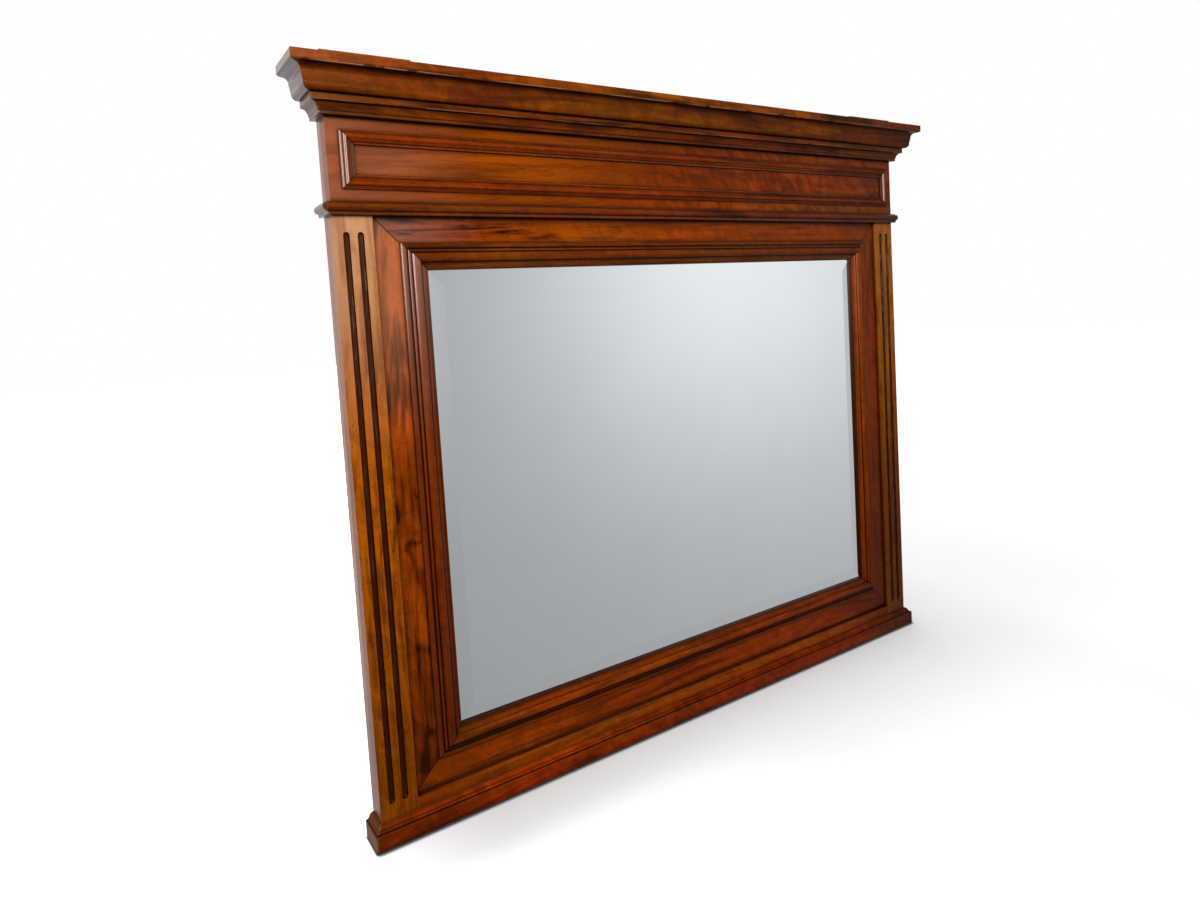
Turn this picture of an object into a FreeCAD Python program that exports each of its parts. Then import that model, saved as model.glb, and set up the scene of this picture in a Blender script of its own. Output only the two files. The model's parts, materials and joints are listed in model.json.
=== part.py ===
import FreeCAD, Part
import math
import os

from FreeCAD import Vector

# An overmantel mirror: a beveled plate in a mitred frame between two fluted pilasters,
# with a panelled frieze and a moulded cornice above and a moulded base below.
# Lengths are in millimetres. The origin is on the floor, in the middle of the whole
# object seen from above. X runs along the width, Z goes up and the front faces -Y.
# A depth is measured forward from the wall, against which the back stands.

# Body
body_depth = 41.0
board_thickness = 22.0

# Opening of the glass and the flat mitred frame round it
sight_width = 988.0
sight_height = 727.0
frame_member_width = 82.0
frame_setback = 6.0
frame_bottom = 61.0
frame_tongue_length = 5.0
frame_tongue_thickness = 6.0
mitre_key_leg = 40.0
mitre_key_thickness = 4.0
mitre_key_setback = 2.0

# Sight moulding, which covers the inner edge of the frame and holds the glass
sight_moulding_width = 42.0
sight_moulding_rise = 11.2
sight_lip_thickness = 5.0
rebate_width = 10.0

# Pilasters
pilaster_width = 59.0
flute_width = 9.5
flute_spacing = 21.0
flute_end_margin = 24.5

# Frieze and the mouldings on it
astragal_height = 19.0
astragal_projection = 13.5
frieze_field_height = 121.0
panel_moulding_width = 20.0
panel_moulding_rise = 8.0
panel_margin = 18.5
bed_height = 27.0
bed_projection = 21.0
crown_height = 48.0
crown_projection = 50.0
crown_block_length = 135.0
crown_block_height = 17.0
crown_block_depth = 44.0

# Base moulding and the groove above the lower rail
base_height = 37.0
base_projection = 12.5
groove_height = 5.5
groove_depth = 10.0
groove_round = 2.0

# Carcase behind the face
carcase_rail_height = 60.0
carcase_rail_clearance = 5.0
tenon_length = 10.0
tenon_thickness = 9.0
tenon_shoulder = 8.0
dowel_radius = 4.0
dowel_length = 40.0
dowel_low_heights = (15.0, 38.0)
dowel_side_distances = (19.0, 39.0)
glue_block_width = 18.0
glue_block_thickness = 14.0
glue_block_length = 60.0
glue_block_count = 5
glue_block_margin = 120.0

# Glass and what holds it
glass_thickness = 6.0
glass_edge_thickness = 2.5
glass_cover = 8.0
visible_bevel = 25.0
fillet_width = 14.0
setting_block_length = 60.0
setting_block_margin = 240.0
pin_radius = 0.8
pin_bite_length = 12.0
pin_end_margin = 90.0
pin_count_across = 5
pin_count_upright = 4

# Back boards
back_board_count = 5
back_board_thickness = 8.0
back_board_cover = 40.0
back_board_lap = 8.0
back_screw_end_margin = 20.0
back_screw_side_margin = 40.0

# Screws
screw_radius = 1.75
screw_head_radius = 3.5
screw_head_height = 2.2
back_screw_bite_length = 17.0
carcase_screw_bite_length = 15.0
carcase_screw_count = 5
carcase_screw_end_margin = 175.0
carcase_screw_edge_margin = 20.0
plate_screw_clearance = 3.0

# Wall plates
plate_width = 22.0
plate_thickness = 2.0
plate_side_margin = 255.0
plate_below_top = 34.0
plate_ear_height = 12.0
plate_hole_radius = 2.75
plate_screw_distances = (8.0, 24.0)

# Amount by which a cutter passes beyond what it cuts
overrun = 5.0

# Outlines of the mouldings. A row of two numbers is a corner. A row of four is an arc:
# its middle and its end. All are shares of the moulding's own reach and height.
crown_shares = [
    (0, 0), (0.48, 0), (0.585, 0.05, 0.64, 0.2), (0.69, 0.47), (0.73, 0.605, 0.81, 0.66),
    (0.93, 0.685), (0.985, 0.715, 1, 0.76), (1, 0.955), (0.99, 0.985, 0.96, 1), (0, 1),
]
bed_shares = [
    (0, 0), (0.42, 0), (0.455, 0.03), (0.455, 0.19), (0.5, 0.215), (0.575, 0.42, 0.75, 0.585),
    (0.95, 0.625), (0.985, 0.64, 1, 0.675), (1, 0.97), (0.97, 1), (0, 1),
]
astragal_shares = [
    (0, 0), (0.53, 0), (0.56, 0.03), (0.56, 0.22), (0.62, 0.26), (1, 0.57, 0.62, 0.9),
    (0.52, 0.92), (0.5, 1), (0, 1),
]
base_shares = [
    (0, 0), (0.78, 0), (0.94, 0.02, 1, 0.08), (1, 0.69), (0.985, 0.73, 0.92, 0.745),
    (0.74, 0.77, 0.58, 0.83), (0.55, 0.84), (0.4, 0.94, 0.1, 0.99), (0, 1),
]
panel_shares = [
    (0, 0), (1, 0), (1, 0.4), (0.98, 0.43), (0.91, 0.43), (0.89, 0.3), (0.87, 0.3),
    (0.69, 0.5, 0.56, 0.86), (0.44, 1.02, 0.25, 0.75), (0.22, 0.5), (0.19, 0.5),
    (0.11, 0.52, 0.03, 0.34), (0, 0.3),
]
sight_shares = [
    (0.038, 0.125), (0.133, 0.125), (0.205, 0.215, 0.262, 0.47), (0.267, 0.4), (0.29, 0.4),
    (0.3, 0.589), (0.371, 0.89, 0.467, 1), (0.566, 0.93, 0.629, 0.679), (0.633, 0.482),
    (0.652, 0.482), (0.662, 0.6), (0.719, 0.64, 0.762, 0.464), (0.767, 0.268), (0.795, 0.268),
    (0.81, 0.4), (0.93, 0.46, 1, 0.18), (1, 0),
]

# Heights and depths that follow
overall_depth = body_depth + crown_projection
back_y = overall_depth / 2
pilaster_inner_x = sight_width / 2 + frame_member_width
side_x = pilaster_inner_x + pilaster_width
body_width = 2 * side_x
face_back = body_depth - board_thickness
frame_face = body_depth - frame_setback
frame_back = frame_face - board_thickness
tongue_back = (face_back + frame_face - frame_tongue_thickness) / 2
tongue_front = tongue_back + frame_tongue_thickness
sight_bottom = frame_bottom + frame_member_width
sight_middle = sight_bottom + sight_height / 2
frieze_bottom = sight_bottom + sight_height + frame_member_width
frieze_field_bottom = frieze_bottom + astragal_height
bed_bottom = frieze_field_bottom + frieze_field_height
crown_bottom = bed_bottom + bed_height
body_top = crown_bottom + crown_height
side_inner_x = side_x - board_thickness
bevel_width = visible_bevel + glass_cover
bevel_drop = glass_thickness - glass_edge_thickness
rebate_seat = frame_face - sight_lip_thickness
glass_back = rebate_seat - glass_edge_thickness - bevel_drop * glass_cover / bevel_width


def box(x_start, x_end, depth_start, depth_end, z_start, z_end):
    """A block between two places along each direction; depths count from the wall."""
    corner = Vector(x_start, back_y - depth_end, z_start)
    return Part.makeBox(x_end - x_start, depth_end - depth_start, z_end - z_start, corner)


def scaled(rows, reach, height):
    """Rows of shares turned into lengths."""
    sizes = (reach, height)
    return [tuple(value * sizes[i % 2] for i, value in enumerate(row)) for row in rows]


def outline_face(rows, place):
    """A closed face through the rows; place turns the two lengths into a point."""
    edges = []
    here = place(*rows[0])
    for row in rows[1:] + rows[:1]:
        end = place(*row[-2:])
        if len(row) == 4:
            edges.append(Part.Arc(here, place(*row[:2]), end).toShape())
        else:
            edges.append(Part.LineSegment(here, end).toShape())
        here = end
    return Part.Face(Part.Wire(edges))


def prism(corners, direction):
    """A straight solid on a polygon of corners."""
    return Part.Face(Part.makePolygon(corners + corners[:1])).extrude(direction)


def planted_length(rows, length, mitred_start, mitred_end):
    """A moulding that runs along X from 0, stands out towards -Y and may have mitred ends."""
    reach = max(row[-2] for row in rows)
    height = max(row[-1] for row in rows)
    face = outline_face(rows, lambda out, up: Vector(-reach, -out, up))
    blank = face.extrude(Vector(length + 2 * reach, 0, 0))
    inner = -overrun
    outer = reach + overrun
    corners = [
        Vector(-inner * mitred_start, -inner, -overrun),
        Vector(-outer * mitred_start, -outer, -overrun),
        Vector(length + outer * mitred_end, -outer, -overrun),
        Vector(length + inner * mitred_end, -inner, -overrun),
    ]
    return blank.common(prism(corners, Vector(0, 0, height + 2 * overrun)))


def moulding_round_body(name, rows, bottom):
    """Front length and two returns of a moulding that goes round the front and sides."""
    front = planted_length(rows, body_width, True, True)
    front.translate(Vector(-side_x, back_y - body_depth, bottom))
    left = planted_length(rows, body_depth, False, True)
    left.rotate(Vector(0, 0, 0), Vector(0, 0, 1), -90)
    left.translate(Vector(-side_x, back_y, bottom))
    right = planted_length(rows, body_depth, True, False)
    right.rotate(Vector(0, 0, 0), Vector(0, 0, 1), 90)
    right.translate(Vector(side_x, back_y - body_depth, bottom))
    return {name + "_front": front, name + "_return_left": left, name + "_return_right": right}


def mitred_member(rows, length):
    """The top member of a mitred frame: rows give the way outward and the depth."""
    widest = max(row[-2] for row in rows) + overrun
    deepest = max(row[-1] for row in rows) + overrun
    half = length / 2
    face = outline_face(rows, lambda out, depth: Vector(-half - widest, back_y - depth, out))
    blank = face.extrude(Vector(length + 2 * widest, 0, 0))
    front_y = back_y - deepest
    corners = [
        Vector(-half + overrun, front_y, -overrun),
        Vector(-half - widest, front_y, widest),
        Vector(half + widest, front_y, widest),
        Vector(half - overrun, front_y, -overrun),
    ]
    return blank.common(prism(corners, Vector(0, deepest + overrun, 0)))


def mitred_frame(name, rows, width, height, middle_z):
    """Four mitred members round an opening, turned from the top one."""
    members = {}
    sides = (("top", 0, width, height), ("right", 90, height, width),
             ("bottom", 180, width, height), ("left", 270, height, width))
    for side, angle, length, across in sides:
        member = mitred_member(rows, length)
        member.translate(Vector(0, 0, across / 2))
        member.rotate(Vector(0, 0, 0), Vector(0, 1, 0), angle)
        member.translate(Vector(0, 0, middle_z))
        members[name + "_" + side] = member
    return members


def screw(length, x, depth, z):
    """A countersunk screw driven forward from a depth, its head flush there."""
    forward = Vector(0, -1, 0)
    head_place = Vector(x, back_y - depth, z)
    head = Part.makeCone(screw_head_radius, screw_radius, screw_head_height, head_place, forward)
    shank = Part.makeCylinder(screw_radius, length, head_place, forward)
    return head.fuse(shank).removeSplitter()


def without(shape, cutters):
    """The shape with a list of cutters taken away."""
    return shape.cut(Part.makeCompound(cutters)) if cutters else shape


def flute(x):
    """A round-ended hollow on the face of a pilaster, as its cutter."""
    radius = flute_width / 2
    low = base_height + flute_end_margin + radius
    high = frieze_bottom - flute_end_margin - radius
    face_y = back_y - body_depth
    hollow = Part.makeCylinder(radius, high - low, Vector(x, face_y, low))
    for z in (low, high):
        hollow = hollow.fuse(Part.makeSphere(radius, Vector(x, face_y, z)))
    return hollow


def tongue_space(x_start, x_end, z_start, z_end):
    """Room for the tongue on the outer edge of the mitred frame."""
    return box(x_start, x_end, tongue_back, tongue_front, z_start, z_end)


def dowels():
    """Dowels between pilasters and frieze, and between pilasters and lower rail."""
    pieces = []
    y = back_y - (face_back + body_depth) / 2
    for side in (-1, 1):
        for distance in dowel_side_distances:
            foot = Vector(side * (side_x - distance), y, frieze_bottom - dowel_length / 2)
            pieces.append(Part.makeCylinder(dowel_radius, dowel_length, foot))
        for z in dowel_low_heights:
            foot = Vector(side * pilaster_inner_x - dowel_length / 2, y, z)
            pieces.append(Part.makeCylinder(dowel_radius, dowel_length, foot, Vector(1, 0, 0)))
    return pieces


def pilaster(side, holes):
    """A face board with two flutes and a groove for the tongue of the frame."""
    inner = side * pilaster_inner_x
    outer = side * side_x
    board = box(min(inner, outer), max(inner, outer), face_back, body_depth, 0, frieze_bottom)
    middle = side * (pilaster_inner_x + pilaster_width / 2)
    groove_end = inner + side * frame_tongue_length
    low = frame_bottom - frame_tongue_length
    groove = tongue_space(min(inner, groove_end), max(inner, groove_end), low, frieze_bottom)
    cutters = [flute(middle - flute_spacing / 2), flute(middle + flute_spacing / 2), groove]
    return without(board, cutters + holes)


def frieze_board(holes):
    """The board that carries the astragal, the panel moulding, the bed and the crown."""
    board = box(-side_x, side_x, face_back, body_depth, frieze_bottom, body_top)
    reach = pilaster_inner_x + frame_tongue_length
    groove = tongue_space(-reach, reach, frieze_bottom, frieze_bottom + frame_tongue_length)
    return without(board, [groove] + holes)


def lower_rail(holes):
    """The rail between the pilasters, hollowed at the top so that a dark groove shows."""
    top = frame_bottom
    lip = top - groove_height
    inside = body_depth - groove_depth
    bow = groove_round * (1 - math.sqrt(1 / 2))
    rows = [
        (face_back, 0), (body_depth, 0), (body_depth, lip), (inside + groove_round, lip),
        (inside + bow, lip + bow, inside, lip + groove_round), (inside, top), (face_back, top),
    ]
    face = outline_face(rows, lambda depth, z: Vector(-pilaster_inner_x, back_y - depth, z))
    rail = face.extrude(Vector(2 * pilaster_inner_x, 0, 0))
    low = top - frame_tongue_length
    groove = tongue_space(-pilaster_inner_x, pilaster_inner_x, low, top)
    return without(rail, [groove] + holes)


def mitre_keys():
    """Feathers let into the outer corners of the mitred frame, one across each mitre."""
    keys = []
    depth_y = back_y - frame_back - mitre_key_setback
    for side in (-1, 1):
        for z, up in ((frieze_bottom, -1), (frame_bottom, 1)):
            x = side * pilaster_inner_x
            corners = [
                Vector(x, depth_y, z),
                Vector(x - side * mitre_key_leg, depth_y, z),
                Vector(x, depth_y, z + up * mitre_key_leg),
            ]
            keys.append(prism(corners, Vector(0, -mitre_key_thickness, 0)))
    return keys


def flat_frame(holes):
    """Four mitred members with a tongue on the outer edge."""
    edge = frame_member_width
    tongue_edge = edge + frame_tongue_length
    rows = [
        (rebate_width, frame_back), (rebate_width, frame_face), (edge, frame_face),
        (edge, tongue_front), (tongue_edge, tongue_front), (tongue_edge, tongue_back),
        (edge, tongue_back), (edge, frame_back),
    ]
    members = mitred_frame("frame", rows, sight_width, sight_height, sight_middle)
    return {name: without(member, holes) for name, member in members.items()}


def sight_moulding():
    """Four mitred lengths with a lip in front of the glass."""
    lip_back = frame_face - sight_lip_thickness
    shaped = scaled(sight_shares, sight_moulding_width, sight_moulding_rise)
    raised = [tuple(v + frame_face * (i % 2) for i, v in enumerate(row)) for row in shaped]
    lip = [(rebate_width, frame_face), (rebate_width, lip_back), (0, lip_back), (0, frame_face)]
    return mitred_frame("sight_moulding", lip + raised, sight_width, sight_height, sight_middle)


def panel_moulding():
    """Four mitred lengths planted on the frieze."""
    opening_width = body_width - 2 * (panel_margin + panel_moulding_width)
    opening_height = frieze_field_height - 2 * (panel_margin + panel_moulding_width)
    middle = frieze_field_bottom + frieze_field_height / 2
    shaped = scaled(panel_shares, panel_moulding_width, panel_moulding_rise)
    flip = (panel_moulding_width, body_depth)
    sign = (-1, 1)
    rows = [tuple(flip[i % 2] + sign[i % 2] * v for i, v in enumerate(row)) for row in shaped]
    return mitred_frame("panel_moulding", rows, opening_width, opening_height, middle)


def mirror_plate():
    """A plate with a flat back; two cross-sections meet so that the bevel is mitred."""
    def bevelled_rows(length):
        half = length / 2
        edge = glass_back + glass_edge_thickness
        flat = glass_back + glass_thickness
        return [(-half, glass_back), (half, glass_back), (half, edge), (half - bevel_width, flat),
                (bevel_width - half, flat), (-half, edge)]

    width = sight_width + 2 * glass_cover
    height = sight_height + 2 * glass_cover
    low = sight_middle - height / 2
    across = outline_face(bevelled_rows(width), lambda a, d: Vector(a, back_y - d, low))
    upright = outline_face(
        bevelled_rows(height), lambda a, d: Vector(-width / 2, back_y - d, sight_middle + a))
    return across.extrude(Vector(0, 0, height)).common(upright.extrude(Vector(width, 0, 0)))


def glazing_fillets(holes):
    """Square strips behind the edge of the plate, against the inside of the frame."""
    reach_x = sight_width / 2 + rebate_width
    reach_z = sight_height / 2 + rebate_width
    top = sight_middle + reach_z
    low = sight_middle - reach_z
    depths = (frame_back, glass_back)
    inner_x = reach_x - fillet_width
    strips = {
        "glazing_fillet_top": box(-reach_x, reach_x, *depths, top - fillet_width, top),
        "glazing_fillet_bottom": box(-reach_x, reach_x, *depths, low, low + fillet_width),
        "glazing_fillet_left": box(
            -reach_x, -inner_x, *depths, low + fillet_width, top - fillet_width),
        "glazing_fillet_right": box(
            inner_x, reach_x, *depths, low + fillet_width, top - fillet_width),
    }
    return {name: without(strip, holes) for name, strip in strips.items()}


def spread(count, length):
    """Places at even steps, from one end of a centred length to the other."""
    return [length * (i / (count - 1) - 1 / 2) for i in range(count)]


def glazing_pins():
    """Pins through the fillets into the inner edges of the frame."""
    depth_y = back_y - (frame_back + glass_back) / 2
    start_x = sight_width / 2 + rebate_width - fillet_width
    start_z = sight_height / 2 + rebate_width - fillet_width
    length = fillet_width + pin_bite_length
    pins = []
    for x in spread(pin_count_across, sight_width - 2 * pin_end_margin):
        for way in (-1, 1):
            foot = Vector(x, depth_y, sight_middle + way * start_z)
            pins.append(Part.makeCylinder(pin_radius, length, foot, Vector(0, 0, way)))
    for z in spread(pin_count_upright, sight_height - 2 * pin_end_margin):
        for way in (-1, 1):
            foot = Vector(way * start_x, depth_y, sight_middle + z)
            pins.append(Part.makeCylinder(pin_radius, length, foot, Vector(way, 0, 0)))
    return pins


def setting_blocks():
    """Two thin packers under the lower edge of the plate."""
    low = sight_bottom - rebate_width
    high = sight_bottom - glass_cover
    half = setting_block_length / 2
    places = [way * (sight_width / 2 - setting_block_margin) for way in (-1, 1)]
    edge = glass_back + glass_edge_thickness
    return [box(x - half, x + half, glass_back, edge, low, high) for x in places]


def back_board_places():
    """Left edge of the boards, their pitch, and their lower and upper ends."""
    reach_x = sight_width / 2 + rebate_width + back_board_cover
    reach_z = sight_height / 2 + rebate_width + back_board_cover
    pitch = 2 * reach_x / back_board_count
    return -reach_x, pitch, sight_middle - reach_z, sight_middle + reach_z


def back_screws():
    """Two screws through each end of each back board."""
    left, pitch, low, high = back_board_places()
    depth = frame_back - back_board_thickness
    length = back_board_thickness + back_screw_bite_length
    screws = []
    for i in range(back_board_count):
        edges = (left + i * pitch, left + (i + 1) * pitch)
        xs = (edges[0] + back_screw_side_margin, edges[1] - back_screw_side_margin)
        for x in xs:
            for z in (low + back_screw_end_margin, high - back_screw_end_margin):
                screws.append(screw(length, x, depth, z))
    return screws


def back_boards(holes):
    """Upright boards that lap one another by half their thickness."""
    left, pitch, low, high = back_board_places()
    back = frame_back - back_board_thickness
    middle = frame_back - back_board_thickness / 2
    boards = {}
    for i in range(back_board_count):
        x_start = left + i * pitch
        x_end = x_start + pitch
        front_half = box(x_start, x_end, middle, frame_back, low, high)
        lap_start = back_board_lap if i > 0 else 0
        lap_end = back_board_lap if i < back_board_count - 1 else 0
        back_half = box(x_start + lap_start, x_end + lap_end, back, middle, low, high)
        board = front_half.fuse(back_half).removeSplitter()
        boards["back_board_" + str(i + 1)] = without(board, holes)
    return boards


def carcase_screws():
    """Screws through the carcase rails into the frieze board and the lower rail."""
    run = body_width - 2 * carcase_screw_end_margin
    top_rail_low = body_top - carcase_rail_height
    heights = (top_rail_low + carcase_screw_edge_margin, carcase_screw_edge_margin)
    return [screw(face_back + carcase_screw_bite_length, x, 0, z)
            for z in heights for x in spread(carcase_screw_count, run)]


def carcase_rail(low, high, holes):
    """A rail between the sides with a stub tenon at each end."""
    rail = box(-side_inner_x, side_inner_x, 0, face_back, low, high)
    tenon_start = (face_back - tenon_thickness) / 2
    reach = side_inner_x + tenon_length
    tenons = box(-reach, reach, tenon_start, tenon_start + tenon_thickness,
                 low + tenon_shoulder, high - tenon_shoulder)
    return without(rail.fuse(tenons).removeSplitter(), holes)


def carcase_side(side, rails):
    """A side board behind a pilaster, mortised for the rails."""
    outer = side * side_x
    inner = side * side_inner_x
    board = box(min(inner, outer), max(inner, outer), 0, face_back, 0, body_top)
    return without(board, rails)


def glue_blocks(side):
    """Blocks glued in the corner between a side board and the back of a pilaster."""
    outer = side * side_inner_x
    inner = side * (side_inner_x - glue_block_width)
    back = face_back - glue_block_thickness
    run = frieze_bottom - 2 * glue_block_margin - glue_block_length
    blocks = []
    for i in range(glue_block_count):
        low = glue_block_margin + run * i / (glue_block_count - 1)
        blocks.append(box(min(inner, outer), max(inner, outer), back, face_back,
                          low, low + glue_block_length))
    return blocks


def crown_block(side):
    """A raised block on top, flush with the body's side."""
    outer = side * side_x
    inner = side * (side_x - crown_block_length)
    top = body_top + crown_block_height
    return box(min(inner, outer), max(inner, outer), 0, crown_block_depth, body_top, top)


def plate_screws(side):
    """Screws of a wall plate, driven forward into the upper carcase rail."""
    x = side * (side_x - plate_side_margin)
    length = face_back - plate_screw_clearance
    return [screw(length, x, 0, body_top - distance) for distance in plate_screw_distances]


def plate_blank(side):
    """A wall plate with a round ear above the top, before its holes."""
    x = side * (side_x - plate_side_margin)
    radius = plate_width / 2
    ear_z = body_top + plate_ear_height
    low = body_top - plate_below_top
    strip = box(x - radius, x + radius, 0, plate_thickness, low, ear_z)
    ear_place = Vector(x, back_y, ear_z)
    ear = Part.makeCylinder(radius, plate_thickness, ear_place, Vector(0, -1, 0))
    return strip.fuse(ear).removeSplitter()


def wall_plate(side):
    """The plate with its ear hole and countersunk screw holes."""
    x = side * (side_x - plate_side_margin)
    ear_place = Vector(x, back_y + overrun, body_top + plate_ear_height)
    hole = Part.makeCylinder(
        plate_hole_radius, plate_thickness + 2 * overrun, ear_place, Vector(0, -1, 0))
    return without(plate_blank(side), [hole] + plate_screws(side))


def all_nodes():
    """Every named piece, as a solid or a group of like solids."""
    pegs = dowels()
    rail_screws = carcase_screws()
    board_screws = back_screws()
    pins = glazing_pins()
    keys = mitre_keys()
    ear_screws = plate_screws(-1) + plate_screws(1)
    plates = [plate_blank(-1), plate_blank(1)]
    high_rail = carcase_rail(
        body_top - carcase_rail_height, body_top, rail_screws + ear_screws + plates)
    low_rail = carcase_rail(0, frame_bottom - carcase_rail_clearance, rail_screws)
    rails = [high_rail, low_rail]

    nodes = {"carcase_rail_top": high_rail, "carcase_rail_bottom": low_rail}
    for side, word in ((-1, "left"), (1, "right")):
        nodes["side_" + word] = carcase_side(side, rails)
        nodes["pilaster_" + word] = pilaster(side, pegs)
        nodes["glue_blocks_" + word] = glue_blocks(side)
        nodes["crown_block_" + word] = crown_block(side)
        nodes["wall_plate_" + word] = wall_plate(side)
    nodes["frieze_board"] = frieze_board(pegs + rail_screws)
    nodes["lower_rail"] = lower_rail(pegs + rail_screws)
    nodes.update(flat_frame(keys + board_screws + pins))
    nodes.update(sight_moulding())
    nodes.update(panel_moulding())
    nodes.update(moulding_round_body(
        "astragal", scaled(astragal_shares, astragal_projection, astragal_height), frieze_bottom))
    nodes.update(moulding_round_body(
        "bed_moulding", scaled(bed_shares, bed_projection, bed_height), bed_bottom))
    nodes.update(moulding_round_body(
        "crown_moulding", scaled(crown_shares, crown_projection, crown_height), crown_bottom))
    nodes.update(moulding_round_body(
        "base_moulding", scaled(base_shares, base_projection, base_height), 0))
    nodes["mirror_plate"] = mirror_plate()
    nodes.update(glazing_fillets(pins))
    nodes.update(back_boards(board_screws))
    nodes["mitre_keys"] = keys
    nodes["dowels"] = pegs
    nodes["glazing_pins"] = pins
    nodes["setting_blocks"] = setting_blocks()
    nodes["back_board_screws"] = board_screws
    nodes["carcase_screws"] = rail_screws
    nodes["wall_plate_screws"] = ear_screws
    return nodes


def write_nodes(nodes):
    """One file per node, and a line on each."""
    os.makedirs("parts", exist_ok=True)
    for name, shape in sorted(nodes.items()):
        if isinstance(shape, list):
            shape = Part.makeCompound(shape)
        shape.exportStep("parts/" + name + ".step")
        print(name, len(shape.Solids), round(shape.Volume), shape.isValid())


write_nodes(all_nodes())
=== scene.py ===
# %% [markdown]
# # A beveled mirror in a polished walnut frame
# The object is a wide overmantel: a beveled plate behind a mitred walnut frame, between two
# fluted pilasters, with a panelled frieze and a crown above and a moulded base below.
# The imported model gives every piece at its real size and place, in metres, with the front
# facing -Y and +Z up. This lesson keeps those pieces and gives them their looks: rounded
# arrises, figured wood under old polish, silvered glass, studio light and the camera.

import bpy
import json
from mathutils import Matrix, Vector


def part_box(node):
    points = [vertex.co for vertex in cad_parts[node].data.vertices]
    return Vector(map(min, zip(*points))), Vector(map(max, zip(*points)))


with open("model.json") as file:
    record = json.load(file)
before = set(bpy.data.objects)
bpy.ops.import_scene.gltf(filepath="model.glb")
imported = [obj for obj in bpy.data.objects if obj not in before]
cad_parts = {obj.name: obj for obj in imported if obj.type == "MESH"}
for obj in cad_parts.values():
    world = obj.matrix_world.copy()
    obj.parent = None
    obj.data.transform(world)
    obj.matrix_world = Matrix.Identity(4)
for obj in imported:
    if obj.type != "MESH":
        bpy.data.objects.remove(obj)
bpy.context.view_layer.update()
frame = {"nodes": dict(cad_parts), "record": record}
nodes = frame["nodes"]
subparts = frame["record"]["subparts"]

# %% Modules and units
import json
import math
from types import SimpleNamespace

import bpy
from mathutils import Matrix, Vector

MM = 0.001
scene = bpy.context.scene
scene.view_settings.view_transform = "Standard"

# %% [markdown]
# ## The camera
# The photograph was taken from the front left and from close by, a little under the glass's
# upper edge, and tilted down and to one side. Its place and its three angles were solved from
# the frame's straight edges. A look-at rule would lose the tilt, so the camera's own axes are
# built from heading, elevation and roll. The lens is short and the crop is a little off
# centre, which the two shift values follow.

# %% Camera
PHOTO_WIDTH = 1200
PHOTO_HEIGHT = 900
FOCAL_PIXELS = 782.5
CENTRE_PIXELS = (602.1, 361.4)
CAMERA_PLACE = Vector((-0.9427, -1.1500, 0.7976))
HEADING = math.radians(33.209)
ELEVATION = math.radians(-3.980)
ROLL = math.radians(-3.397)
SENSOR = 36.0

forward = Vector((math.sin(HEADING) * math.cos(ELEVATION),
                  math.cos(HEADING) * math.cos(ELEVATION),
                  math.sin(ELEVATION)))
level = Vector((math.cos(HEADING), -math.sin(HEADING), 0.0))
upright = level.cross(forward)
right = level * math.cos(ROLL) + upright * math.sin(ROLL)
up = right.cross(forward)

camera_data = bpy.data.cameras.new("camera")
camera_data.sensor_width = SENSOR
camera_data.lens = FOCAL_PIXELS / PHOTO_WIDTH * SENSOR
camera_data.shift_x = (PHOTO_WIDTH / 2 - CENTRE_PIXELS[0]) / PHOTO_WIDTH
camera_data.shift_y = (CENTRE_PIXELS[1] - PHOTO_HEIGHT / 2) / PHOTO_WIDTH
camera_data.clip_start = 0.01
camera = bpy.data.objects.new("camera", camera_data)
camera.matrix_world = Matrix.Translation(CAMERA_PLACE) @ Matrix((right, up, -forward)).transposed().to_4x4()
scene.collection.objects.link(camera)
scene.camera = camera
print("lens", round(camera_data.lens, 2), "mm")
print("shift", round(camera_data.shift_x, 4), round(camera_data.shift_y, 4))

# %% [markdown]
# ## Writing shader maths
# A finish is a sum of many small effects, and dozens of nodes are easier to read as a formula.
# The first class below holds one output socket. Adding or multiplying two of them adds a Math
# node, so `1 - mask` or `streaks * 0.3 + fibres` can be written as it is meant. The second class
# holds a whole tree. Every other kind of node comes from its one method, which takes the node's
# type, its settings, and then what goes into its sockets.

# %% One socket that knows arithmetic
class Wire:
    """An output socket of a node tree, on which Python's operators add Math nodes."""

    def __init__(self, sheet, socket):
        self.sheet = sheet
        self.socket = socket

    def maths(self, operation, *values):
        """Adds a Math node with this socket first and the other values after it."""
        inputs = dict(enumerate((self, *values)))
        return self.sheet.node("ShaderNodeMath", {"operation": operation}, inputs)

    def __add__(self, other):
        return self.maths("ADD", other)

    def __sub__(self, other):
        return self.maths("SUBTRACT", other)

    def __rsub__(self, other):
        return self.maths("MULTIPLY_ADD", -1.0, other)

    def __mul__(self, other):
        return self.maths("MULTIPLY", other)

    def __truediv__(self, other):
        return self.maths("DIVIDE", other)

    def __pow__(self, other):
        return self.maths("POWER", other)

    __radd__ = __add__
    __rmul__ = __mul__

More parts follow.
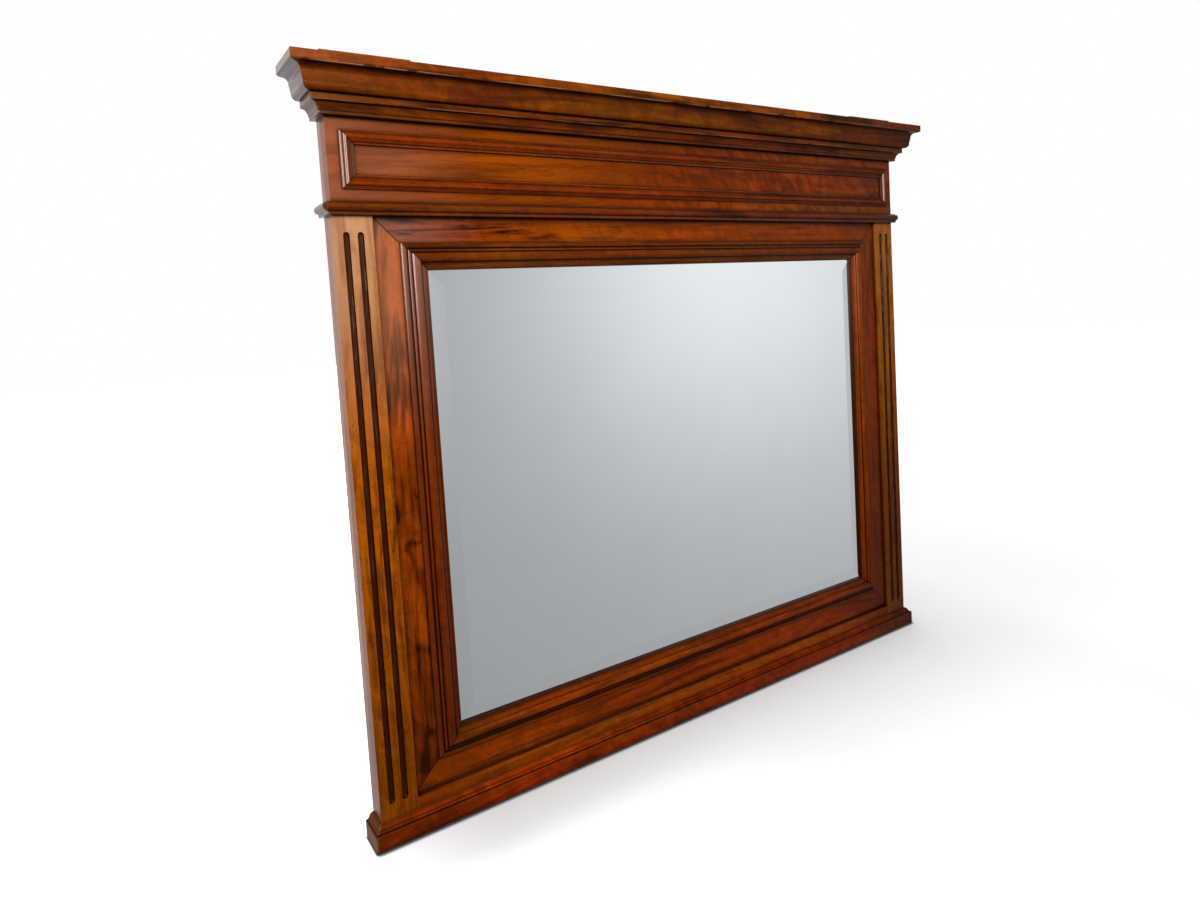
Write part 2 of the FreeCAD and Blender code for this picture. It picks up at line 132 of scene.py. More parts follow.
# %% A sheet of nodes
class Sheet:
    """The node tree of one material or of the world."""

    def __init__(self, tree):
        self.tree = tree
        self.tree.nodes.clear()

    def node(self, kind, settings=None, inputs=None, out=0):
        """Adds a node, with settings by name and numbers or links by socket, and gives one output."""
        made = self.tree.nodes.new(kind)
        for name, value in (settings or {}).items():
            setattr(made, name, value)
        for key, value in (inputs or {}).items():
            self.plug(value, made.inputs[key])
        return Wire(self, made.outputs[out])

    def plug(self, value, socket):
        if isinstance(value, Wire):
            self.tree.links.new(value.socket, socket)
        else:
            socket.default_value = value

    def vector(self, operation, *values):
        return self.node("ShaderNodeVectorMath", {"operation": operation}, dict(enumerate(values)))

    def join(self, x, y, z):
        return self.node("ShaderNodeCombineXYZ", None, {0: x, 1: y, 2: z})

    def grey(self, level):
        """The grey of a level that may change over the surface."""
        return self.join(level, level, level)

    def split(self, vector):
        apart = self.node("ShaderNodeSeparateXYZ", None, {0: vector}).socket.node
        return [Wire(self, socket) for socket in apart.outputs]

    def noise(self, vector, scale=1.0, detail=2.0, roughness=0.5, distortion=0.0):
        inputs = {"Vector": vector, "Scale": scale, "Detail": detail,
                  "Roughness": roughness, "Distortion": distortion}
        return self.node("ShaderNodeTexNoise", None, inputs)

    def between(self, value, low, high, start=0.0, end=1.0):
        """Goes smoothly from start to end while value goes from low to high."""
        settings = {"interpolation_type": "SMOOTHSTEP"}
        inputs = {"Value": value, "From Min": low, "From Max": high, "To Min": start, "To Max": end}
        return self.node("ShaderNodeMapRange", settings, inputs)

    def mix(self, share, first, second, blend="MIX"):
        """Mixes two colours, and any plain colour is a tuple of three numbers."""
        first, second = [(*c, 1.0) if isinstance(c, tuple) else c for c in (first, second)]
        settings = {"data_type": "RGBA", "blend_type": blend, "clamp_factor": True}
        return self.node("ShaderNodeMix", settings, {0: share, 6: first, 7: second}, out=2)

    def bump(self, height, strength, distance):
        inputs = {"Strength": strength, "Distance": distance, "Height": height}
        return self.node("ShaderNodeBump", None, inputs)


def finish_named(name):
    """A new material and the empty sheet for its nodes."""
    material = bpy.data.materials.new(name)
    material.use_nodes = True
    return material, Sheet(material.node_tree)


def surface(sheet, shader, kind="ShaderNodeOutputMaterial"):
    """Joins the finished shader to the tree's output."""
    output = sheet.tree.nodes.new(kind)
    sheet.tree.links.new(shader.socket, output.inputs["Surface"])


# %% [markdown]
# ## The studio around it
# The glass shows what stands in front of it, so the room's brightness is part of the object's
# look. In the photograph the glass is a smooth grey with one broad bright patch to the right.
# A soft patch is written as a lobe about a direction, because it has no edge that would look
# like a lamp in the glass. A small window nearly straight in front, and a tall strip of window
# at the left, draw the pale streaks on round edges and on faces that look left.

# %% Soft patches in the room
ROOM_GREY = 0.12

world = bpy.data.worlds.new("studio")
world.use_nodes = True
scene.world = world
room = Sheet(world.node_tree)
toward = room.node("ShaderNodeTexCoord", out="Generated")
toward_y, toward_z = room.split(toward)[1:]


def room_axis(azimuth, elevation=0.0):
    """The unit vector at azimuth degrees from -Y towards +X, and at elevation degrees up."""
    azimuth, elevation = math.radians(azimuth), math.radians(elevation)
    return (math.sin(azimuth) * math.cos(elevation), -math.cos(azimuth) * math.cos(elevation),
            math.sin(elevation))


def share_along(axis):
    """How far the direction that is looked in points along an axis, from -1 to 1."""
    return room.node("ShaderNodeVectorMath", {"operation": "DOT_PRODUCT"}, {0: toward, 1: axis},
                     out="Value")


def lobe(azimuth, elevation, width, strength):
    """A soft bright patch: a bell curve about a direction, with its width in radians."""
    nearness = share_along(room_axis(azimuth, elevation))
    return strength * ((nearness - 1.0) / width ** 2).maths("EXPONENT")


dim_front = lobe(34, -10, 0.75, 0.25)
dim_right = lobe(62, -12, 0.35, 0.09)
bright_patch = lobe(43, 3.5, 0.20, 0.47)
near_window = lobe(-8.3, 2.2, 0.177, 1.35)
upper_glow = lobe(43, 12, 0.15, 0.07)

# %% Tall window at the left
STRIP_AZIMUTH = -68
STRIP_STRENGTH = 9.0

off_strip = share_along(room_axis(STRIP_AZIMUTH + 90)).maths("ABSOLUTE")
strip_side = share_along(room_axis(STRIP_AZIMUTH))
side_window = room.between(off_strip, 0.10, 0.60, STRIP_STRENGTH, 0.0)
side_window = side_window * room.between(strip_side, 0.0, 0.2)
side_window = side_window * room.between(toward_z, -0.18, 0.11)
side_window = side_window * room.between(toward_z, 0.50, 0.75, 1.0, 0.0)
room_light = ROOM_GREY + dim_front + dim_right + bright_patch + upper_glow
room_light = room_light + near_window + side_window

# %% [markdown]
# The room is seen only in polish and in the glass. Matt surfaces get an even dome, because the
# windows' light would reach them as a strong glow from one side. The camera sees plain white,
# and so do polished faces that reflect what is behind the object.

# %% Dome, room and white background
DOME = 0.19
ROOM_TINT = (0.975, 0.997, 1.025)
WHITE = (1.0, 1.0, 1.0)


def glowing(colour, strength):
    return room.node("ShaderNodeBackground", None, {"Color": (*colour, 1.0), "Strength": strength})


seen = room.node("ShaderNodeLightPath", out="Is Camera Ray")
polished = room.node("ShaderNodeLightPath", out="Is Glossy Ray")
dome_or_room = room.node("ShaderNodeMixShader", None,
                         {0: polished, 1: glowing(ROOM_TINT, DOME), 2: glowing(ROOM_TINT, room_light)})
behind_object = room.between(toward_y, 0.02, 0.40)
white_share = seen + polished * behind_object
studio = room.node("ShaderNodeMixShader", None,
                   {0: white_share, 1: dome_or_room, 2: glowing(WHITE, 1.0)})
surface(room, studio, "ShaderNodeOutputWorld")
print("world nodes", len(world.node_tree.nodes))

# %% [markdown]
# ## The floor
# The floor is one large pale sheet. It isn't part of the object and is kept out of the glass,
# where its near edge would draw a false horizon. A thin painted shadow line shows where the base
# touches it. It stops at the base's left end, where it would run out past the corner as a smear.

# %% Floor sheet
FLOOR_HALF = 14.0

floor_mesh = bpy.data.meshes.new("floor")
corners = [(sx * FLOOR_HALF, sy * FLOOR_HALF, 0.0) for sx, sy in ((-1, -1), (1, -1), (1, 1), (-1, 1))]
floor_mesh.from_pydata(corners, [], [(0, 1, 2, 3)])
floor = bpy.data.objects.new("floor", floor_mesh)
scene.collection.objects.link(floor)
floor.visible_glossy = False

# %% Floor's colour and the painted shadow line under the base
TOUCH_REACH = 12 * MM
LINE_END = 3 * MM

floor_finish, sheet = finish_named("pale_floor")
place = sheet.node("ShaderNodeTexCoord", out="Object")
floor_x, floor_y = sheet.split(place)[:2]
touching = sheet.node("ShaderNodeAmbientOcclusion", {"samples": 12}, {"Distance": TOUCH_REACH}, out="AO")
unshaded = sheet.between(touching, 0.60, 0.97, 0.05, 1.0)
base_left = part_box("base_moulding_return_left")[0].x
unshaded = unshaded.maths("MAXIMUM", sheet.between(floor_x, base_left, base_left - LINE_END))
cloudy = sheet.noise(place, scale=3.0, detail=3.0)
pale = sheet.mix(cloudy, (0.38, 0.38, 0.38), (0.40, 0.40, 0.40))
pale = sheet.mix(1.0, pale, sheet.grey(unshaded), "MULTIPLY")
matt = sheet.node("ShaderNodeBsdfDiffuse", None, {"Color": pale})

# %% [markdown]
# To the camera the floor gives off a little light of its own, so that it meets the white
# background without a line and the soft shadow stays. It is weakest near the object and grows
# with distance, and it is stronger past the left end and in front of the left half. How near
# the object is comes from an occlusion that looks up and towards the window at the left, so the
# shadow falls to the right.

# %% Floor's own light
CONTACT_REACH = 0.45
TOWARDS_WINDOW = Vector((-1.3, 0.0, 1.0)).normalized()
GLOW_NEAR = 0.05
GLOW_GAIN = 0.68
GLOW_FAR = 0.35
END_SLANT = 0.263

camera_only = sheet.node("ShaderNodeLightPath", out="Is Camera Ray")
near_object = sheet.node("ShaderNodeAmbientOcclusion", {"samples": 12},
                         {"Distance": CONTACT_REACH, "Normal": TOWARDS_WINDOW}, out="AO")
distance = sheet.node("ShaderNodeVectorMath", {"operation": "LENGTH"}, {0: place}, out="Value")
open_floor = sheet.between(distance, 0.9, 2.6, 0.0, GLOW_FAR) + sheet.between(floor_x, 0.72, 1.0, 0.0, 0.08)
past_end = floor_x - floor_y * END_SLANT
lit_end = sheet.between(past_end, -0.42, -0.72, 0.0, 0.40)
lit_end = lit_end + sheet.between(past_end, -0.46, -0.60) * sheet.between(floor_y, -0.03, 0.10, 0.0, 0.5)
lit_front = sheet.between(floor_x, 0.15, -0.5) * sheet.between(floor_y, -0.07, -0.20, 0.0, 0.34)
lit_front = lit_front + sheet.between(floor_y, -0.10, -0.45, 0.0, 0.06)
glow_level = near_object * GLOW_GAIN + GLOW_NEAR + open_floor + lit_end + lit_front
glow_level = camera_only * glow_level * unshaded
glow = sheet.node("ShaderNodeEmission", None, {"Color": sheet.grey(glow_level)})
surface(sheet, sheet.node("ShaderNodeAddShader", None, {0: matt, 1: glow}))
floor.data.materials.append(floor_finish)
print("floor nodes", len(floor_finish.node_tree.nodes))

# %% [markdown]
# ## Lamps
# Two soft lamps shape the wood. One stands in front, to the left and above the glass, and lights
# every face that looks forward, most strongly at the upper left. The other stands past the left
# end and lights the edges and slopes that face left. Both are outside the directions that the
# glass shows.

# %% Lamps
WARM = (1.0, 0.97, 0.94)
WARMER = (1.0, 0.95, 0.92)


def lamp(name, place, aim, side, watts, colour):
    """A square area lamp at a place, turned towards its aim."""
    data = bpy.data.lights.new(name, "AREA")
    data.shape = "SQUARE"
    data.size = side
    data.energy = watts
    data.color = colour
    made = bpy.data.objects.new(name, data)
    made.location = place
    made.rotation_euler = (Vector(aim) - Vector(place)).to_track_quat("-Z", "Y").to_euler()
    scene.collection.objects.link(made)
    print(name, watts, "watts,", side, "m wide")


lamp("key_lamp", (-0.66, -1.36, 1.45), (-0.15, 0.0, 0.75), 0.6, 20.5, WARM)
lamp("side_lamp", (-1.75, -0.30, 1.20), (-0.6, 0.0, 0.85), 0.8, 7.0, WARMER)

# %% [markdown]
# ## Rounded arrises
# A plane leaves a sharp edge, and a hundred years of hands and dusters round it. The packed
# solids have sharp edges, so each plain board gets a tiny bevel as a modifier: its mesh is kept,
# light catches every arris, and every joint shows as a fine line. Mouldings get none. Their
# curves run smoothly into one another, and there the bevel drew false bright lines.

# %% Bevels
WALNUT_ARRIS = 0.55 * MM
PLAIN_ARRIS = 0.4 * MM
SAME_POINT = 0.01 * MM
SHARP = math.radians(48)


def round_arrises(piece, width):
    weld = piece.modifiers.new("join_faces", "WELD")
    weld.merge_threshold = SAME_POINT
    bevel = piece.modifiers.new("arrises", "BEVEL")
    bevel.width = width
    bevel.segments = 2
    bevel.limit_method = "ANGLE"
    bevel.angle_limit = SHARP
    bevel.use_clamp_overlap = True
    bevel.harden_normals = True


# %% [markdown]
# ## The figure of the walnut
# Real boards are cut from a log, so the figure is a solid pattern, and each face shows how it
# cuts that pattern. Rings about a heart are the usual way to draw it, but here they looked like
# sawn pine. So each part of the figure is a stretched noise of its own: smoky streaks, fine dark
# threads and finer fibres along the grain, and on the stiles flames and small swirls. Every
# board takes its wood from another place, turned to its own grain direction, so mitres and
# joints show.

# %% One board's own directions
AXES = {"X": (0, 2, 1), "Z": (2, 0, 1), "Y": (1, 2, 0)}


class Board:
    """Object coordinates turned to the grain, and shifted so that no two boards match."""

    def __init__(self, sheet, grain, start):
        self.sheet = sheet
        self.start = start
        self.x, self.y, self.z = sheet.split(sheet.node("ShaderNodeTexCoord", out="Object"))
        place = (self.x, self.y, self.z)
        self.along, self.across, self.deep = [place[i] for i in AXES[grain]]
        self.log = sheet.join(self.along + start, self.across + start * 1.7, self.deep + start * 0.6)

    def noise(self, along, across, **manner):
        """Noise with this many features to the metre along and across the grain."""
        return self.sheet.noise(self.sheet.vector("MULTIPLY", self.log, (along, across, across)), **manner)


def near(sheet, distance, inner, outer, strength=1.0):
    """Full strength where a signed distance is under inner either way, and none from outer on."""
    return sheet.between(distance.maths("ABSOLUTE"), inner, outer, strength, 0.0)


# %% Flames and swirls
FLAME_HEIGHTS = (0.56, 0.70)
SWIRL_LINE = 0.030


def flames_on(board, middle, drift):
    """Dark tongues that rise as steep arches about the board's middle, on its upper part."""
    sheet = board.sheet
    off_middle = (board.across - middle + drift * 0.06).maths("ABSOLUTE")
    rise = board.along * 7.0 + off_middle * 26.0 + board.start
    arches = sheet.join(rise, board.across * 14.0, board.deep * 14.0)
    grains = board.noise(14.0, 150.0, detail=2.0) - 0.5
    tongues = sheet.noise(arches, detail=2.5, roughness=0.5, distortion=0.9) + grains * 0.20
    return sheet.between(tongues, 0.44, 0.62) * sheet.between(board.z, *FLAME_HEIGHTS)


def swirls_on(board):
    """Thin curled lines, drawn where a slow noise crosses its middle value, and broken."""
    contours = board.noise(5.0, 11.0, detail=1.5, distortion=0.6)
    broken = board.sheet.between(board.noise(9.0, 20.0, detail=1.0), 0.46, 0.58)
    return near(board.sheet, contours - 0.5, 0.0, SWIRL_LINE) * broken


# %% Streaks, veins, threads and fibres together
LOW_HEIGHTS = (0.62, 0.50)
PATCH_FADE = 0.3
VEIN_LEVEL = 0.45
VEIN_LINE = 0.022


def figure_on(board, middle, look):
    """How dark the figure is at a point, from 0 to 1, with its cloud and its fibres."""
    sheet = board.sheet
    along, across, deep = board.along, board.across, board.deep
    drift = board.noise(1.6, 6.0, detail=1.0) - 0.5
    bend = drift * 1.1 + board.start

    lengthwise, sideways = look.size
    smoky = sheet.join(along * lengthwise + bend, across * sideways + bend * 3.0, deep * sideways)
    cloud = sheet.noise(smoky, detail=4.0, roughness=0.58, distortion=0.7)
    streaks = sheet.between(cloud, 0.47, 0.63)
    veins = near(sheet, cloud - VEIN_LEVEL, 0.0, VEIN_LINE)
    threads = sheet.join(along * 4.5 + bend, across * 85.0 + bend * 4.0, deep * 85.0)
    threads = sheet.between(sheet.noise(threads, detail=2.5, roughness=0.55, distortion=0.4), 0.47, 0.64)
    fibres = board.noise(9.0, 240.0, detail=3.0, roughness=0.65)

    patch = sheet.between(board.x, look.patch_to, look.patch_to - PATCH_FADE, 0.3, 1.0) * look.patch
    tone = threads * look.thread + streaks * patch + veins * look.vein
    tone = tone + flames_on(board, middle, drift) * look.flame + swirls_on(board) * look.swirl
    tone = tone + (fibres - 0.44) * look.fibre * 2.0
    smoke_below = sheet.between(board.z, *LOW_HEIGHTS) * sheet.between(cloud, 0.35, 0.60, 0.5, 1.0)
    return tone + smoke_below * look.low, cloud, fibres


# %% Colour of the wood
GOLDEN_SHEEN_AT_LEFT = (0.0, -0.35)
FIGURE_FADE = 0.35


def ground_colour(board, look, tone):
    """Ruddy and golden wood in slow patches, darkened by the figure, with a silky cross ripple and a
    painted golden sheen at the left.
    """
    sheet = board.sheet
    red, green, blue = look.light
    ruddy = (red * 1.14, green, blue)
    golden = (red * 1.08, green * 1.62, blue)
    warmth = sheet.between(board.noise(2.0, 6.0, detail=2.0), 0.42, 0.64) * 0.7
    # A golden tint towards the left: painted sheen
    warmth = warmth + sheet.between(board.x, *GOLDEN_SHEEN_AT_LEFT) * look.gilt
    wood = sheet.mix(tone, sheet.mix(warmth, ruddy, golden), look.dark)
    slant = board.along * 24.0 + board.across * 14.0 + board.start
    ripple = sheet.noise(sheet.join(slant, board.across * 16.0, board.deep), detail=2.5, distortion=1.6)
    figured = sheet.between(board.x, look.figured_from, look.figured_from + FIGURE_FADE) * look.figure
    shimmer = (sheet.between(ripple, 0.32, 0.68) - 0.5) * figured * 2.0 + 1.0
    return sheet.mix(1.0, wood, sheet.grey(shimmer), "MULTIPLY")


# %% [markdown]
# ## Marks of age, and painted light and shade
# Hollows and quirks are darkened, partly by stain and old polish that gather there and partly as
# painted shade. Edges are paled, partly by the rub of hands and partly as a painted highlight,
# and one patch on the crown is nearly black. Ambient occlusion finds hollows, and its inside form
# finds edges, from the shape itself, so these marks follow any moulding. What the real frame
# shows in one place only, the sheen at the upper left and the darker right end, is laid on as a
# painted sheen and a painted shade, placed by height and by distance from the middle. Each
# function below lays one kind of mark on the wood.

# %% Colours of the marks
# Dark for dirt, specks and joints, and for painted shade in hollows, quirks and flute walls
DIRT_AND_SHADE = (0.008, 0.0025, 0.001)
# Stain in the flutes, and painted shade under lips and towards the ends
STAIN_AND_SHADE = (0.045, 0.0065, 0.001)
# Pale for wear, and for painted highlights on edges and lips
BARE_AND_HIGHLIGHT = (0.50, 0.24, 0.11)
# Tints of the painted sheen
PALE_SHEEN = (0.66, 0.35, 0.21)
MAUVE_SHEEN = (0.30, 0.23, 0.22)
ROSY_SHEEN = (0.34, 0.13, 0.09)

# %% Painted sheen, lips and the nearly black patch
SHEEN_FADE = 0.22
SHEEN_HEIGHTS = (0.55, 1.00)
BLACK_EDGE = (0.05, 0.11)
BLACK_RAGGED = 0.10
BLACK_RISE = 5 * MM


def painted_sheen(board, look, cloud, wood):
    """A painted sheen at the upper left."""
    sheet = board.sheet
    sheen_share = sheet.between(board.x, look.hazy_to, look.hazy_to - SHEEN_FADE)
    sheen_share = sheen_share * sheet.between(board.z, *SHEEN_HEIGHTS) * sheet.between(cloud, 0.38, 0.60, 1.0, 0.6)
    return sheet.mix(sheen_share * look.haze, wood, look.bloom)


def lip_shade_and_highlight(board, lip, cloud, fibres, wood):
    """A moulding's lip: painted shade under it, a pale line of wear and painted highlight along it, and
    nicks here and there.
    """
    sheet = board.sheet
    height, shade_below, pale = lip
    off_lip = board.z - height
    under = sheet.between(off_lip, -3 * MM, -1 * MM, shade_below, 0.0)
    wood = sheet.mix(under * sheet.between(cloud, 0.34, 0.60, 0.6, 1.0), wood, STAIN_AND_SHADE)
    line = near(sheet, off_lip, 0.3 * MM, 1.1 * MM, pale)
    wood = sheet.mix(line * sheet.between(fibres, 0.40, 0.55), wood, BARE_AND_HIGHLIGHT)
    nicks = sheet.between(board.noise(34.0, 60.0, detail=1.0), 0.63, 0.67)
    return sheet.mix(nicks * near(sheet, off_lip, 1.0 * MM, 3.5 * MM, pale), wood, DIRT_AND_SHADE)


def nearly_black_patch(board, burn, cloud, wood):
    """A nearly black patch with a ragged edge, above one height."""
    sheet = board.sheet
    middle, height = burn
    off_patch = (board.x - middle).maths("ABSOLUTE") + (cloud - 0.5) * BLACK_RAGGED
    blackened = sheet.between(off_patch, *BLACK_EDGE, 0.85, 0.0)
    return sheet.mix(blackened * sheet.between(board.z, height, height + BLACK_RISE), wood, DIRT_AND_SHADE)


# %% Flutes: stain and painted shade
FLUTED_HALF = 22 * MM
FLUTE_PLACE = 10.5 * MM
STAIN_BEGINS = (0.3 * MM, 1.6 * MM)
STAIN_ENDS = (7 * MM, 8 * MM)


def flutes_stain_and_shade(board, middle, face, wood):
    """Flutes stained dark, with painted shade along their walls, and how much their uneven stain glints."""
    sheet = board.sheet
    off_centre = (board.across - middle).maths("ABSOLUTE")
    depth = board.deep - face
    inside = sheet.between(off_centre, FLUTED_HALF, FLUTED_HALF + 1 * MM, 1.0, 0.0)
    inside = inside * sheet.between(depth, *STAIN_BEGINS) * sheet.between(depth, *STAIN_ENDS, 1.0, 0.0)
    wood = sheet.mix(inside * 0.92, wood, STAIN_AND_SHADE)
    # Painted shade along the flutes' walls
    shaded_walls = sheet.between((off_centre - FLUTE_PLACE).maths("ABSOLUTE"), 2.8 * MM, 4.4 * MM)
    wood = sheet.mix(inside * shaded_walls * 0.9, wood, DIRT_AND_SHADE)
    glints = sheet.between(board.noise(35.0, 300.0, detail=2.0), 0.52, 0.66) * inside
    return wood, glints


# %% Painted shade at the ends and over dim stretches
RIGHT_END = (0.34, 0.64)
LEFT_END = (-0.36, -0.60)
DIM_FADE = 0.25
DIM_RISE = 10 * MM


def painted_shade_at_ends(board, dim, wood):
    """Painted shade that deepens to the right end and to the lower left, and over one stretch of a board.
    """
    sheet = board.sheet
    ends = sheet.between(board.x, *RIGHT_END) * sheet.between(board.z, 0.85, 0.20, 0.25, 0.8)
    ends = ends + sheet.between(board.x, *LEFT_END) * sheet.between(board.z, 0.40, 0.12, 0.0, 0.35)
    if dim is not None:
        begins, full, share, fades, kept, above = dim
        stretch = sheet.between(board.x, begins, full, 0.0, share)
        stretch = stretch * sheet.between(board.x, fades, fades + DIM_FADE, 1.0, kept)
        ends = ends.maths("MAXIMUM", stretch * sheet.between(board.z, above, above + DIM_RISE))
    return sheet.mix(ends, wood, STAIN_AND_SHADE)


# %% Mitres, quirks and hollows
def beside_mitre(board, mitre):
    """Distance from a mitred frame's nearest joint, and from its outer edge inwards."""
    half_width, mid_height, half_height = mitre
    from_side = board.x.maths("ABSOLUTE") - half_width
    from_end = (board.z - mid_height).maths("ABSOLUTE") - half_height
    from_joint = (from_side - from_end).maths("ABSOLUTE")
    return from_joint, from_side.maths("MAXIMUM", from_end) * -1.0


def dirt_and_shade_in_quirks(sheet, quirks, inward, wood):
    """Dark lines of dirt and painted shade in a moulding's quirks, each at its place in millimetres in from
    the edge.
    """
    for place, half_width, share in quirks:
        line = near(sheet, inward - place * MM, half_width * 0.3 * MM, half_width * MM, share)
        wood = sheet.mix(line, wood, DIRT_AND_SHADE)
    return wood


def dirt_and_shade_in_hollows(sheet, reach, low, high, share, wood):
    """Dirt and painted shade where little open sky shows within reach, fading out from a low to a high
    share of it.
    """
    open_sky = sheet.node("ShaderNodeAmbientOcclusion", {"samples": 6}, {"Distance": reach}, out="AO")
    return sheet.mix(sheet.between(open_sky, low, high, share, 0.0), wood, DIRT_AND_SHADE)


# %% [markdown]
# ## One walnut finish
# The marks are laid on one over another: first the wood with its specks and smudges, then a
# painted sheen, the lips, the black patch and the flutes, edges paled by wear and a painted
# highlight, painted shade towards the ends, and last the dirt and painted shade in quirks and
# hollows and the dark mitre lines, which cover them all.
# The polish is a coat over the wood. It is fuller high up, because the lower boards were dusted
# and knocked dull, and the wood under it keeps only a weak amber gloss.

# %% What a board has unless its own entry says otherwise
EVERYWHERE = 9.0
AMBER = (1.0, 0.55, 0.08, 1.0)
USUAL = {
    # Dark parts of the figure, as shares, then the cloud's features to the metre along and across
    "thread": 0.38, "patch": 0.35, "vein": 0.25, "flame": 0.15, "swirl": 0.0, "fibre": 0.25, "low": 0.0,
    "patch_to": EVERYWHERE, "size": (3.2, 22.0),
    # Cross ripple, a painted golden sheen at the left, specks, smudges and the relief of the grain
    "figure": 0.14, "figured_from": -EVERYWHERE, "gilt": 0.0, "fleck": 0.45, "smudge": 0.30, "relief": 0.25,
    # Gloss of the wood, the coat of polish, and the heights between which it grows from a share
    "rough": 0.26, "shine": 0.05, "gloss_rough": 0.09, "dulled": (0.45, 0.90, 0.3),
    # Wear and painted highlight on the arrises, the hollows' dirt and painted shade by its reach, and a
    # wide painted shade where there is one
    "worn": 0.5, "reach": 8 * MM, "shade": None,
    # Painted sheen towards the upper left, where it ends and its tint, and marks in one place
    "haze": 0.0, "hazy_to": -0.38, "bloom": PALE_SHEEN, "burn": None, "dim": None,
}


# %% Walnut
PALE_EDGE_REACH = 3 * MM
MITRE_LINE = (0.6 * MM, 1.8 * MM)


def walnut(name, grain, start, middle, look):
    """The finish of one board, with its look as one value that holds all its shares and sizes."""
    material, sheet = finish_named(name)
    board = Board(sheet, grain, start)
    tone, cloud, fibres = figure_on(board, middle, look)
    flecks = sheet.between(board.noise(170.0, 420.0, detail=1.0), 0.64, 0.70)
    smudges = sheet.between(board.noise(8.0, 13.0, detail=4.0, roughness=0.65), 0.54, 0.74)
    roughness = look.rough + tone * 0.05 + smudges * 0.08
    full = sheet.between(fibres, 0.30, 0.62, 0.8, 1.1) * sheet.between(board.z, *look.dulled, 1.0)
    polish = full * look.shine

    wood = ground_colour(board, look, tone)
    wood = sheet.mix(flecks * look.fleck, wood, DIRT_AND_SHADE)
    wood = sheet.mix(smudges * look.smudge, wood, DIRT_AND_SHADE)
    # Painted sheen at the upper left, as strong as the haze share
    wood = painted_sheen(board, look, cloud, wood)
    # Lips: painted shade under them and a pale line of wear and painted highlight along them
    if look.lip is not None:
        wood = lip_shade_and_highlight(board, look.lip, cloud, fibres, wood)
    if look.burn is not None:
        wood = nearly_black_patch(board, look.burn, cloud, wood)
    if look.flute_face is not None:
        wood, glints = flutes_stain_and_shade(board, middle, look.flute_face, wood)
        roughness = roughness - glints * 0.10
        polish = polish + glints * 0.7

    # Edges paled by wear and by a painted highlight
    edge = sheet.node("ShaderNodeAmbientOcclusion", {"samples": 4, "inside": True},
                      {"Distance": PALE_EDGE_REACH}, out="AO")
    rubbed_and_highlit = sheet.between(edge, 0.74, 0.42) * sheet.between(cloud, 0.36, 0.56)
    if look.mitre is None:
        inward = board.z - look.foot
    else:
        from_joint, inward = beside_mitre(board, look.mitre)
        rubbed_and_highlit = rubbed_and_highlit * sheet.between(from_joint, 3 * MM, 7 * MM)
    wood = sheet.mix(rubbed_and_highlit * look.worn, wood, BARE_AND_HIGHLIGHT)
    # Painted shade towards the right end, the lower left and over a dim stretch
    wood = painted_shade_at_ends(board, look.dim, wood)
    # Dirt and painted shade in the quirks
    wood = dirt_and_shade_in_quirks(sheet, look.quirks, inward, wood)
    if look.mitre is not None:
        wood = sheet.mix(sheet.between(from_joint, *MITRE_LINE, 0.8, 0.0), wood, DIRT_AND_SHADE)
    # Dirt and painted shade in the hollows, then a wider painted shade where a board has one
    wood = dirt_and_shade_in_hollows(sheet, look.reach, 0.40, 0.95, 0.95, wood)
    if look.shade is not None:
        wood = dirt_and_shade_in_hollows(sheet, look.shade, 0.45, 1.0, 0.8, wood)

    grain_relief = sheet.bump(fibres * 0.5 - flecks * 0.5, look.relief, 0.12 * MM)
    inputs = {"Base Color": wood, "Roughness": roughness, "Normal": grain_relief, "IOR": 1.5,
              "Specular IOR Level": 0.10, "Specular Tint": AMBER, "Coat Weight": polish,
              "Coat Roughness": look.gloss_rough, "Coat IOR": 1.5}
    surface(sheet, sheet.node("ShaderNodeBsdfPrincipled", None, inputs))
    return material


# %% [markdown]
# ## Every board's own look
# Light and dark are the two colours between which a board's figure draws, and the third value
# holds what differs from the usual look. They were set board by board against the photograph,
# partly because old stain and polish never age alike and partly as painted light and shade: a
# board that the lamps leave too dark or too bright is given a lighter or darker colour. The first
# entry whose key begins a piece's name counts, so the returns at the ends come before their long
# mouldings. A black patch gives its middle and the height where it begins. A dim stretch of
# painted shade gives where it begins along the board, where it is full, its share, where it
# fades, what share of it stays after that, and above which height.

